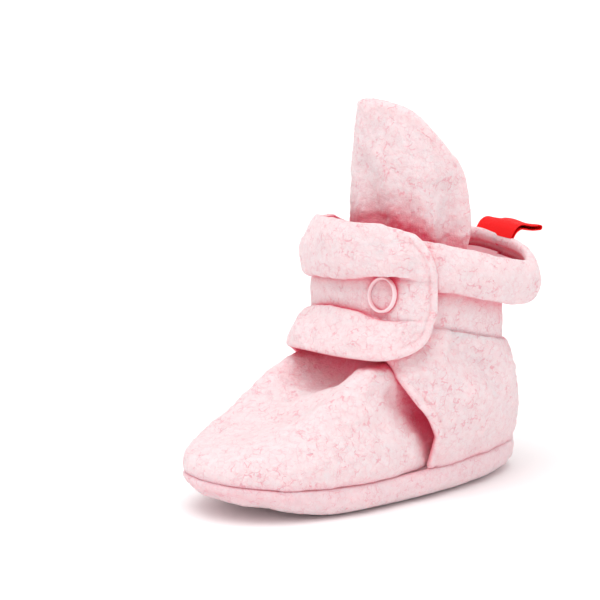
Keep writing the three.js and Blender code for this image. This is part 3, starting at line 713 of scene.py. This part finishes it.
def side(name, surface, sign, end, low, looks):
    """Fleece and lining of one side of the shoe with its flap."""
    blocks, faced, seamed = side_blocks(sign, end, low, 0.5)
    fleece = panel(f"{name}_fleece", surface, blocks, looks["fleece"], faced, seamed, relief=collar_relief,
                   crease=collar_crease_shade)
    blocks, edge, _ = side_blocks(sign, end, low, 0.9, inset=LINING_BACK)
    lining = panel(f"{name}_lining", surface, blocks, looks["lining"], seamed=edge, depth=past_elastic,
                   thick=JERSEY)
    return fleece, lining


# ---------------------------------------------------------------- vamp, tongue and sole
def vamp_parts(looks):
    turns = mix(-VAMP_END, VAMP_END, spread(150, 0.5))
    low, high = 0.012, 0.997
    shares = mix(low, high, spread(62, 0.5))
    us, vs = np.meshgrid(turns, shares, indexing="ij")
    around, up = np.linspace(-VAMP_END, VAMP_END, 400), np.linspace(low, high, 60)
    edge = np.concatenate([
        np.stack([around, np.full(400, low)], -1), np.stack([np.full(60, VAMP_END), up], -1),
        np.stack([around[::-1], np.full(400, high)], -1), np.stack([np.full(60, -VAMP_END), up[::-1]], -1),
    ])
    sides = ("first", "last", "low", "high")
    fleece = panel("vamp_fleece", vamp_shape, [(us, vs, sides)], looks["fleece"], seamed=edge,
                   relief=plain_relief, crease=plain_crease_shade, eps=(0.05, 0.002))
    us, vs = np.meshgrid(turns[::2], shares[::2], indexing="ij")
    lining = panel("vamp_inside", vamp_shape, [(us, vs, sides)], looks["lining"], depth=LINING_IN,
                   thick=JERSEY, eps=(0.05, 0.002))
    return fleece, lining


def vamp_shape(turn, share):
    """The vamp with the folds that the closed collar presses into it."""
    p = vamp_sheet(turn, share)
    p = fold(p, (-10, -11, 34), (6, -8, 35), 5.5, -2.2, (0, -0.6, 0.8))
    p = fold(p, (1, -19, 29), (14, -11, 36), 4.5, 1.5, (0.3, -0.5, 0.8))
    p = fold(p, (15, -9, 36), (21, -1, 37), 4.0, 1.6, (0.5, -0.3, 0.8))
    p = fold(p, (21.4, -3, 31), (21.5, 6, 25), 4.5, -2.2, (0.9, -0.4, 0.2))
    return fold(p, (22, 8, 22), (22.5, 10, 14), 4.0, -1.6, (0.9, -0.4, 0))


def tongue_shape(share, z):
    """The tongue with its two soft valleys."""
    p = tongue_sheet(share, z)
    p = fold(p, (-4, 4.9, 91), (4, 4.8, 75), 5.0, -2.0, (0, -1, 0))
    p = fold(p, (12, 8, 98), (16, 14, 78), 5.0, 1.2, (1, -0.6, 0))
    return fold(p, (18, 18.5, 86), (18.3, 18.7, 73), 3.4, -1.6, (1, -0.3, 0))


def tongue_parts(looks):
    sides = ("first", "last", "low", "high")
    made = []
    for name, key, inset, step, depth, thick in (
        ("tongue_fleece", "fleece", 0.0, 0.5, 0.0, FLEECE),
        ("tongue_inside", "lining", LINING_BACK, 1.0, LINING_IN, JERSEY),
    ):
        top = TONGUE_TOP - inset
        straight = np.linspace(TONGUE_SEAM, top - 6, int(62 / step))
        heights = np.concatenate([straight, top - 6 * np.linspace(1, 0, 46)[1:] ** 2])
        columns = mix(-1, 1, spread(66, step))
        us, vs = np.meshgrid(columns, heights, indexing="ij")
        if inset:
            us = us * (1 - inset / (0.36 * tongue_reach(vs)))
        up = np.linspace(TONGUE_SEAM, TONGUE_TOP, 400)
        one_side = np.stack([np.full(400, -1.0), up], -1)
        other_side = np.stack([np.full(400, 1.0), up[::-1]], -1)
        line = np.concatenate([one_side, other_side])
        line = np.insert(line, 400, np.stack([np.linspace(-1, 1, 20), np.full(20, TONGUE_TOP)], -1), axis=0)
        seam_line = np.stack([np.linspace(-1, 1, 200), np.full(200, TONGUE_SEAM)], -1)
        made.append(panel(name, tongue_shape, [(us, vs, sides)], looks[key], faced=None if inset else line,
                          seamed=seam_line, depth=depth, thick=thick, relief=None if inset else plain_relief,
                          crease=None if inset else plain_crease_shade, eps=(0.002, 0.02)))
    return made


sole_out = curve([0, 0.2, 0.45, 0.7, 0.88, 1], [0.4, 1.0, 1.0, -0.4, -2.6, -6.0])
sole_fall = curve([0, 0.2, 0.45, 0.7, 0.88, 1], [0, 0.16, 0.46, 0.80, 0.97, 1.0])


def sole_cup(turn, v):
    """v is -1 in the middle of the underside, 0 where the underside ends and 1 at the seam."""
    x, y, z = seam(turn)
    ox, oy = seam_out(turn)
    w = 1 - np.clip(v, 0, 1)
    flat = 1 + np.clip(v, -1, 0)
    shrink = mix(1, 0.95, smooth(0.6, 1, w)) * flat
    out = sole_out(w)
    toe = smooth(-22, -SOLE_HALF, y)
    out = out - 5.0 * toe * smooth(0.1, 1, w)
    height = (z + 0.8) * (1 - sole_fall(w)) + TOE_SPRING * toe * smooth(0, 0.9, w) * flat**2
    return np.stack([(x + ox * out) * shrink, (y + oy * out) * shrink, height], -1)


def sole_parts(looks):
    turns = np.linspace(0, 360, 521)
    low = np.concatenate([-np.linspace(1, 0, 44), spread(13, 0.5, False, True)[1:]])
    us, vs = np.meshgrid(turns, low, indexing="ij")
    line = np.stack([np.linspace(0, 360, 900), np.ones(900)], -1)
    # The sole's crease marks are painted shade along its seam.
    outer = panel("sole_fleece", sole_cup, [(us, vs, ("high",))], looks["sole"], seamed=line,
                  relief=lambda p, u, v, a, b: lumps(p, 0.8) * smooth(0, 2.2, p[..., 2]),
                  crease=lambda p, u, v, a, b: bell(b, 1.2), eps=(0.05, 0.004))
    us, vs = np.meshgrid(turns[::3], low[::2], indexing="ij")
    inner = panel("sole_inside", sole_cup, [(us, vs, ("high",))], looks["lining"], depth=LINING_IN,
                  thick=JERSEY, eps=(0.05, 0.004))
    return outer, inner


# ---------------------------------------------------------------- trims
def capsule(a, b, up, radius):
    """Points and faces of one stitch from a to b, flattened against the cloth below it."""
    a, b, up = np.array(a), np.array(b), np.array(up)
    along = (b - a) / max(np.linalg.norm(b - a), 1e-9)
    side_way = np.cross(up, along)
    rings, points, faces, around = 7, [], [], 8
    for i in range(rings):
        t = i / (rings - 1)
        r = radius * math.sin(math.pi * min(max(t, 0.06), 0.94)) ** 0.45
        centre = a + (b - a) * t + up * radius * (0.9 * math.sin(math.pi * t) - 0.5)
        for k in range(around):
            c, s = math.cos(2 * math.pi * k / around), math.sin(2 * math.pi * k / around)
            points.append(centre + side_way * r * c + up * r * s)
    for i in range(rings - 1):
        for k in range(around):
            j = (k + 1) % around
            faces.append((i * around + k, i * around + j, (i + 1) * around + j, (i + 1) * around + k))
    faces.append(tuple(range(around))[::-1])
    faces.append(tuple((rings - 1) * around + k for k in range(around)))
    return points, faces


def stitches(name, surface, first, last, along, material):
    """A row of lock stitches sunk in the crease beside the elastic channel."""
    angles = np.linspace(first, last, int(abs(last - first) * PER_DEGREE / 0.1))
    at = np.full_like(angles, along)
    line, n = surface(angles, at), surface_normal(surface, angles, at, (0.05, 0.02))
    line = line - n * 0.85
    length = np.concatenate([[0], np.cumsum(np.linalg.norm(np.diff(line, axis=0), axis=1))])
    points, faces = [], []
    for k in range(int(length[-1] / STITCH_PITCH)):
        ends = [int(np.searchsorted(length, d)) for d in (STITCH_PITCH * k + 0.3, STITCH_PITCH * k + 2.4)]
        p, f = capsule(line[ends[0]], line[ends[1]], n[ends[0]], 0.22)
        faces += [tuple(i + len(points) for i in face) for face in f]
        points += p
    return mesh_object(name, points, faces, material)


def snap_matrix():
    at = (np.array([SNAP_ANGLE]), np.array([SNAP_ALONG]))
    base, n = near_side(*at)[0], surface_normal(near_side, *at, (0.05, 0.02))[0]
    return Matrix.Translation(Vector(base)) @ turned(n).to_4x4()


def dome_ring(inner, outer, low, high, count=14):
    """Profile of a ring with a rounded top."""
    middle, half = (inner + outer) / 2, (outer - inner) / 2
    turns = np.linspace(0, math.pi, count)
    arc = [(middle + half * math.cos(t), low + (high - low) * math.sin(t)) for t in turns]
    return [(outer, low - 0.5), *arc, (inner, low - 0.5)]


def snaps(looks):
    """Ring snap: cap ring and socket on the outer flap, stud and its ring on the under flap."""
    place, metal = snap_matrix(), looks["snap"]
    top = OVERLAP + 0.35
    cap = lathed("cap_ring", dome_ring(4.25, 5.1, top + 0.15, top + 0.85), place, metal)
    socket_profile = [
        (2.2, 1.45), (4.7, 1.4), (4.78, 1.5), (4.7, 1.6), (3.8, 1.62),
        (3.65, 1.8), (3.6, 2.1), (3.45, 2.2), (2.4, 2.2), (2.2, 2.1),
    ]
    socket = lathed("socket", socket_profile, place, metal)
    stud_profile = [
        (0.9, 0.3), (2.6, 0.3), (2.65, 0.8), (4.9, 0.85), (5.0, 0.97), (4.9, 1.08), (1.95, 1.1),
        (1.78, 1.25), (1.75, 1.5), (1.88, 1.9), (1.8, 2.15), (1.5, 2.33), (1.1, 2.35), (0.9, 2.2),
    ]
    stud = lathed("stud", stud_profile, place, metal)
    back = LINING_IN + JERSEY + 0.9
    ring_profile = [
        (2.7, -back - 0.5), (3.6, -back - 0.5), (3.8, -back - 0.4),
        (3.85, -back - 0.2), (3.85, -back + 0.3), (2.7, -back + 0.3),
    ]
    stud_ring = lathed("stud_ring", ring_profile, place, metal)
    return cap, socket, stud, stud_ring


def label_piece(material):
    """Satin ribbon folded in a loop and caught in the rim seam by its two ends."""
    rise = curve([0, 2, 4.6, 8.2, 11.5], [0, 2.7, 3.6, 2.6, 2.3])
    out = np.linspace(0, LABEL_LENGTH, 70)
    upper = np.stack([out, rise(out)], -1)
    turn = np.linspace(math.pi / 2, -math.pi / 2, 16)
    bend = np.stack([LABEL_LENGTH + 0.45 * np.cos(turn), rise(LABEL_LENGTH) - 0.45 + 0.45 * np.sin(turn)], -1)
    lower = np.stack([out[::-1], rise(out[::-1]) - 0.9], -1)
    path = dense(np.concatenate([upper, bend[1:-1], lower]), 0.28)

    def ribbon(u, v):
        d = np.interp(u, np.arange(len(path)), path[:, 0])
        h = np.interp(u, np.arange(len(path)), path[:, 1])
        wave = 0.22 * np.sin(v * 0.5 + d * 0.35) * smooth(1, 9, d)
        return np.stack([-1.0 + v, LABEL_Y + d, LABEL_Z + h + wave], -1)

    across = np.linspace(-LABEL_WIDTH / 2, LABEL_WIDTH / 2, 60)
    us, vs = np.meshgrid(np.arange(len(path), dtype=float), across, indexing="ij")
    return panel("tag", ribbon, [(us, vs, ("first", "last", "low", "high"))], material, thick=0.3,
                 depth=0.05, eps=(0.4, 0.02))


def elastic_piece(material):
    """Ribbed elastic round the back of the ankle, between fleece and lining."""
    angles = np.linspace(ELASTIC_END, 360 - ELASTIC_END, 480)
    across = np.linspace(-ELASTIC_WIDTH / 2, ELASTIC_WIDTH / 2, 42)
    us, vs = np.meshgrid(angles, across, indexing="ij")

    def ankle_band(u, v):
        a = np.where(u > 180, u - 360, u)
        stand = np.where(a < 0, 3 * smooth(-150, -HINGE, a), 0)
        return collar(a, v, stand, 0 * u)

    def ribs(p, u, v, a, b):
        return 0.07 * np.sin(v * 2 * math.pi / 1.1)

    return panel("ankle_elastic_woven", ankle_band, [(us, vs, ("first", "last", "low", "high"))], material,
                 depth=FLEECE + 0.32, thick=0.5, relief=ribs)


# ---------------------------------------------------------------- materials
class Looks:
    """Builds one procedural material from small node steps."""

    def __init__(self, name):
        self.material = bpy.data.materials.new(name)
        self.material.use_nodes = True
        self.tree = self.material.node_tree
        self.tree.nodes.clear()

    def node(self, kind, inputs=None, **settings):
        n = self.tree.nodes.new(kind)
        for key, value in settings.items():
            setattr(n, key, value)
        for key, value in (inputs or {}).items():
            if isinstance(value, bpy.types.NodeSocket):
                self.tree.links.new(value, n.inputs[key])
            else:
                n.inputs[key].default_value = value
        return n

    def math(self, kind, a, b=0.0, c=0.0):
        return self.node("ShaderNodeMath", {0: a, 1: b, 2: c}, operation=kind).outputs[0]

    def attribute(self, name, output="Vector"):
        return self.node("ShaderNodeAttribute", attribute_name=name).outputs[output]

    def noise(self, vector, scale, detail=2.0, roughness=0.5, output="Fac"):
        made = self.node("ShaderNodeTexNoise", {"Vector": vector, "Scale": scale, "Detail": detail,
                                                "Roughness": roughness})
        return made.outputs[output]

    def ramp(self, value, low, high):
        """0 below low and 1 above high, smooth between; low may be the larger."""
        return self.node("ShaderNodeMapRange", {"Value": value, "From Min": low, "From Max": high},
                         interpolation_type="SMOOTHSTEP").outputs[0]

    def blend(self, share, a, b):
        made = self.node("ShaderNodeMix", {0: share, 6: a, 7: b}, data_type="RGBA")
        return made.outputs[2]

    def bump(self, height, distance, strength=1.0, before=None):
        inputs = {"Height": height, "Distance": distance, "Strength": strength}
        if before is not None:
            inputs["Normal"] = before
        return self.node("ShaderNodeBump", inputs).outputs[0]

    def surface(self, inputs):
        made = self.node("ShaderNodeBsdfPrincipled", inputs)
        self.node("ShaderNodeOutputMaterial", {"Surface": made.outputs[0]})
        return self.material


def linear(v):
    return v / 12.92 if v <= 0.04045 else ((v + 0.055) / 1.055) ** 2.4


def rgb(r, g, b):
    """Linear colour from the usual 0 to 255 numbers."""
    return linear(r / 255), linear(g / 255), linear(b / 255), 1.0


def cracks(look, rest, size, width, seed, shown):
    """Thin branching lines, 1 on the line, where the pile parts. They fade out where shown is 0."""
    shift = (seed, -seed, seed * 0.6)
    moved = look.node("ShaderNodeVectorMath", {0: rest, 1: shift}, operation="ADD").outputs[0]
    drift = look.noise(moved, 0.9 / size, 2.0, 0.6, "Color")
    bent = look.node("ShaderNodeVectorMath", {0: drift, 1: (size * 1.3,) * 3, 2: moved},
                     operation="MULTIPLY_ADD")
    cells = look.node("ShaderNodeTexVoronoi", {"Vector": bent.outputs[0], "Scale": 1 / size},
                      feature="DISTANCE_TO_EDGE").outputs["Distance"]
    hidden = look.math("MULTIPLY", look.math("SUBTRACT", 1.0, shown), 0.16)
    return look.ramp(look.math("ADD", cells, hidden), width, width * 0.2)


def fleece_look(name, base, pale, amount):
    look = Looks(name)
    rest = look.attribute("rest")
    crease = look.attribute("crease", "Fac")
    wide = look.ramp(look.noise(rest, 0.12, 3.0, 0.6), 0.30, 0.55)
    small = look.ramp(look.noise(rest, 0.42, 3.0, 0.6), 0.32, 0.57)
    bold = cracks(look, rest, 3.3, 0.065, 3.0, look.math("MULTIPLY", wide, small))
    fine = cracks(look, rest, 1.9, 0.10, 17.0, look.math("MULTIPLY_ADD", small, 0.5, 0.45))
    lines = look.math("MULTIPLY", look.math("MAXIMUM", bold, look.math("MULTIPLY", fine, 0.42)), amount)
    mottled = look.blend(look.ramp(look.noise(rest, 0.5, 3.0, 0.6), 0.30, 0.72), base, pale)
    lined = look.blend(look.math("MULTIPLY", lines, 0.50), mottled, rgb(236, 128, 150))
    # Painted shade: the crease marks darken the colour toward a deeper pink in creases, furrows and seams.
    shaded = look.blend(look.math("MULTIPLY", crease, 0.32), lined, rgb(222, 122, 142))
    # Painted shade: ambient occlusion tints the hollows, such as the cloth under the flap, a deep pink, faded out
    # within 20 mm of the floor.
    open_sky = look.node("ShaderNodeAmbientOcclusion", {"Distance": PAINTED_SHADE_REACH}, samples=6).outputs["AO"]
    height_up = look.node("ShaderNodeSeparateXYZ", {"Vector": rest}).outputs["Z"]
    painted_hollow_shade = look.math("MULTIPLY", look.ramp(open_sky, 0.80, 0.34), look.ramp(height_up, 3.0, 20.0))
    hollow_shaded = look.blend(painted_hollow_shade, shaded, rgb(246, 78, 112))
    pile = look.noise(rest, 2.6, 3.0, 0.7)
    tufts = look.noise(rest, 0.9, 2.0, 0.6)
    height = look.math("ADD", look.math("MULTIPLY", pile, 0.4), look.math("MULTIPLY", tufts, 0.6))
    height = look.math("SUBTRACT", height, look.math("MULTIPLY", lines, 0.14))
    return look.surface({
        "Base Color": hollow_shaded, "Roughness": 0.95, "Normal": look.bump(height, 0.0009, 0.85), "Sheen Weight": 0.4,
        "Sheen Roughness": 0.45, "Sheen Tint": rgb(255, 232, 234), "Specular IOR Level": 0.1,
        "Subsurface Weight": 0.5, "Subsurface Radius": (1.0, 0.38, 0.40), "Subsurface Scale": 0.0025,
    })


def lining_look():
    look = Looks("brushed_lining")
    rest = look.attribute("rest")
    knit = look.noise(rest, 1.6, 3.0, 0.6)
    mottle = look.ramp(look.noise(rest, 0.12, 2.0), 0.35, 0.65)
    plain = look.blend(mottle, rgb(252, 202, 208), rgb(255, 216, 221))
    # Painted shade: ambient occlusion tints the lining's hollows a deeper pink.
    open_sky = look.node("ShaderNodeAmbientOcclusion", {"Distance": PAINTED_SHADE_REACH}, samples=6).outputs["AO"]
    colour = look.blend(look.ramp(open_sky, 0.85, 0.30), plain, rgb(255, 158, 172))
    return look.surface({
        "Base Color": colour, "Roughness": 0.9, "Normal": look.bump(knit, 0.0003, 0.5), "Sheen Weight": 0.3,
        "Sheen Roughness": 0.5, "Sheen Tint": rgb(255, 225, 228), "Specular IOR Level": 0.2,
        "Subsurface Weight": 0.4, "Subsurface Radius": (1.0, 0.4, 0.42), "Subsurface Scale": 0.002,
    })


def snap_look():
    look = Looks("painted_snap")
    rest = look.attribute("rest")
    colour = look.blend(look.noise(rest, 0.8, 2.0), rgb(250, 222, 225), rgb(246, 212, 216))
    return look.surface({"Base Color": colour, "Roughness": 0.28, "Coat Weight": 0.5, "Coat Roughness": 0.15,
                         "Normal": look.bump(look.noise(rest, 2.0, 2.0), 0.00005, 0.4)})


def thread_look():
    look = Looks("sewing_thread")
    rest = look.attribute("rest")
    twist = look.node("ShaderNodeTexWave", {"Vector": rest, "Scale": 2.4, "Distortion": 1.0}).outputs["Fac"]
    colour = look.blend(twist, rgb(238, 190, 198), rgb(248, 212, 217))
    return look.surface({"Base Color": colour, "Roughness": 0.7, "Normal": look.bump(twist, 0.0001, 0.6)})


def elastic_look():
    look = Looks("woven_elastic")
    rest = look.attribute("rest")
    weave = look.node("ShaderNodeTexWave", {"Vector": rest, "Scale": 1.4, "Distortion": 0.6}).outputs["Fac"]
    colour = look.blend(weave, rgb(236, 228, 220), rgb(250, 246, 240))
    return look.surface({"Base Color": colour, "Roughness": 0.85, "Normal": look.bump(weave, 0.0002, 0.6)})


def satin_look():
    look = Looks("red_satin")
    rest = look.attribute("rest")
    ribs = look.node("ShaderNodeTexWave", {"Vector": rest, "Scale": 1.5, "Distortion": 0.3},
                     bands_direction="X").outputs["Fac"]
    colour = look.blend(look.noise(rest, 0.4, 2.0), rgb(240, 4, 8), rgb(250, 10, 12))
    return look.surface({"Base Color": colour, "Roughness": 0.6, "Specular IOR Level": 0.2,
                         "Normal": look.bump(ribs, 0.00008, 0.5)})


def floor_look():
    look = Looks("pale_floor")
    where = look.node("ShaderNodeTexCoord").outputs["Object"]
    colour = look.blend(look.noise(where, 3.0, 2.0), rgb(250, 250, 250), rgb(253, 253, 253))
    return look.surface({"Base Color": colour, "Roughness": 0.9, "Specular IOR Level": 0.0})


# ---------------------------------------------------------------- studio
def studio():
    bpy.ops.mesh.primitive_plane_add(size=6, location=(0, 0, -0.0003))
    floor = bpy.context.object
    floor.name = "studio_floor"
    floor.data.materials.append(floor_look())
    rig.stage(floor)
    world = bpy.data.worlds.new("soft_studio")
    bpy.context.scene.world = world
    world.use_nodes = True
    world.node_tree.nodes["Background"].inputs[0].default_value = (1, 1, 1, 1)
    world.node_tree.nodes["Background"].inputs[1].default_value = 0.82
    light = bpy.data.lights.new("overhead", "SUN")
    light.energy, light.angle = 1.45, math.radians(50)
    o = bpy.data.objects.new("overhead", light)
    o.location = (0.20, -0.27, 1.0)
    o.rotation_euler = (-Vector(o.location)).to_track_quat("-Z", "Y").to_euler()
    bpy.context.scene.collection.objects.link(o)
    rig.stage(o)


def camera():
    azimuth, elevation, distance = math.radians(53), math.radians(12), 1.0
    right = Vector((math.cos(azimuth), math.sin(azimuth), 0))
    back = Vector((math.sin(azimuth) * math.cos(elevation), -math.cos(azimuth) * math.cos(elevation),
                   math.sin(elevation)))
    up = back.cross(right)
    target = right * -0.01566 + up * 0.0536
    data = bpy.data.cameras.new("camera")
    data.lens, data.sensor_width = 210, 36
    o = bpy.data.objects.new("camera", data)
    turned_to = Matrix((right, up, back)).transposed().to_4x4()
    o.matrix_world = Matrix.Translation(target + back * distance) @ turned_to
    bpy.context.scene.collection.objects.link(o)
    bpy.context.scene.camera = o


def bend_at(hinge, toward, before=0.003, after=0.006):
    """Start and end of the soft bend round a flap's hinge, measured along a direction into the flap."""
    hinge, toward = Vector(hinge), Vector(toward).normalized()
    return {"start": tuple(hinge - toward * before), "end": tuple(hinge + toward * after)}


def corners(bounds):
    return [list(bounds[0]), list(bounds[1])]


# ---------------------------------------------------------------- the scene
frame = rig.load()
size_before = corners(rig.bounds())

fleece = fleece_look("brushed_fleece", rgb(251, 219, 222), rgb(254, 229, 231), 1.0)
looks = {
    "fleece": fleece,
    "sole": fleece_look("sole_fleece", rgb(251, 217, 221), rgb(253, 226, 229), 0.85),
    "lining": lining_look(),
    "snap": snap_look(),
}
thread, woven, satin = thread_look(), elastic_look(), satin_look()

bend_near = bend_at((0.0278, 0.0080, 0.050), (-0.30, -0.93, 0.19))
bend_far = bend_at((-0.0287, 0.0070, 0.050), (0.30, -0.93, 0.19))
for name, surface, sign, end, low, flap, bend in (
    ("near", near_side, 1, UNDER_END, under_low, "under_flap", bend_near),
    ("far", far_side, -1, OUTER_END, outer_low, "outer_flap", bend_far),
):
    cloth, inside = side(name, surface, sign, end, low, looks)
    for piece, slot_name, node in ((cloth, "fleece", "outer"), (inside, "lining", "lining")):
        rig.blend(piece, "foot", flap, **bend)
        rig.replaces(piece, f"quarter_{node}", f"{flap}_{node}")
        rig.slot(piece, slot_name)
    for row, tag in ((BAND_HALF, "top"), (-BAND_HALF, "bottom")):
        flap_end = end + 5 if sign > 0 else end - 9
        sewn = stitches(f"{name}_stitches_{tag}", surface, sign * 180, flap_end, row, thread)
        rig.blend(sewn, "foot", flap, **bend)
        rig.replaces(sewn, f"quarter_stitch_{tag}", f"{flap}_stitch_{tag}")
        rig.slot(sewn, "thread")

cloth, inside = vamp_parts(looks)
for piece, slot_name, node in ((cloth, "fleece", "vamp_outer"), (inside, "lining", "vamp_lining")):
    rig.ride(piece, "foot")
    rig.replaces(piece, node)
    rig.slot(piece, slot_name)

cloth, inside = tongue_parts(looks)
for piece, slot_name, node in ((cloth, "fleece", "outer"), (inside, "lining", "lining")):
    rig.blend(piece, "foot", "tongue_tip", start=(0, 0.01, 0.077), end=(0, 0.01, 0.087))
    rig.replaces(piece, f"tongue_base_{node}", f"tongue_tip_{node}")
    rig.slot(piece, slot_name)

cloth, inside = sole_parts(looks)
for piece, slot_name, node in ((cloth, "fleece", "sole_outer"), (inside, "lining", "sole_lining")):
    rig.ride(piece, "foot")
    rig.replaces(piece, node)
    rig.slot(piece, slot_name)
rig.padded(cloth, fill=0.4)

band = elastic_piece(woven)
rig.ride(band, "foot")
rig.replaces(band, "ankle_elastic")
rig.slot(band, "elastic")

for piece, node, body in zip(snaps(looks), ("snap_cap_ring", "snap_socket", "snap_stud", "snap_stud_ring"),
                             ("outer_flap", "outer_flap", "under_flap", "under_flap")):
    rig.ride(piece, body)
    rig.replaces(piece, node)
    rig.slot(piece, "snap")

tag = label_piece(satin)
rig.blend(tag, "foot", "label", start=(-0.001, 0.0522, 0.0678), end=(-0.001, 0.0552, 0.0690))
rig.replaces(tag, "back_label")
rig.slot(tag, "label")
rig.sheet(tag, flat=(0.016, 0.0262), held="folded", rests_on=["near_fleece"])

studio()
camera()
bpy.context.scene.view_settings.view_transform = "Standard"
json.dump({"before": size_before, "after": corners(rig.bounds())}, open("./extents.json", "w"))
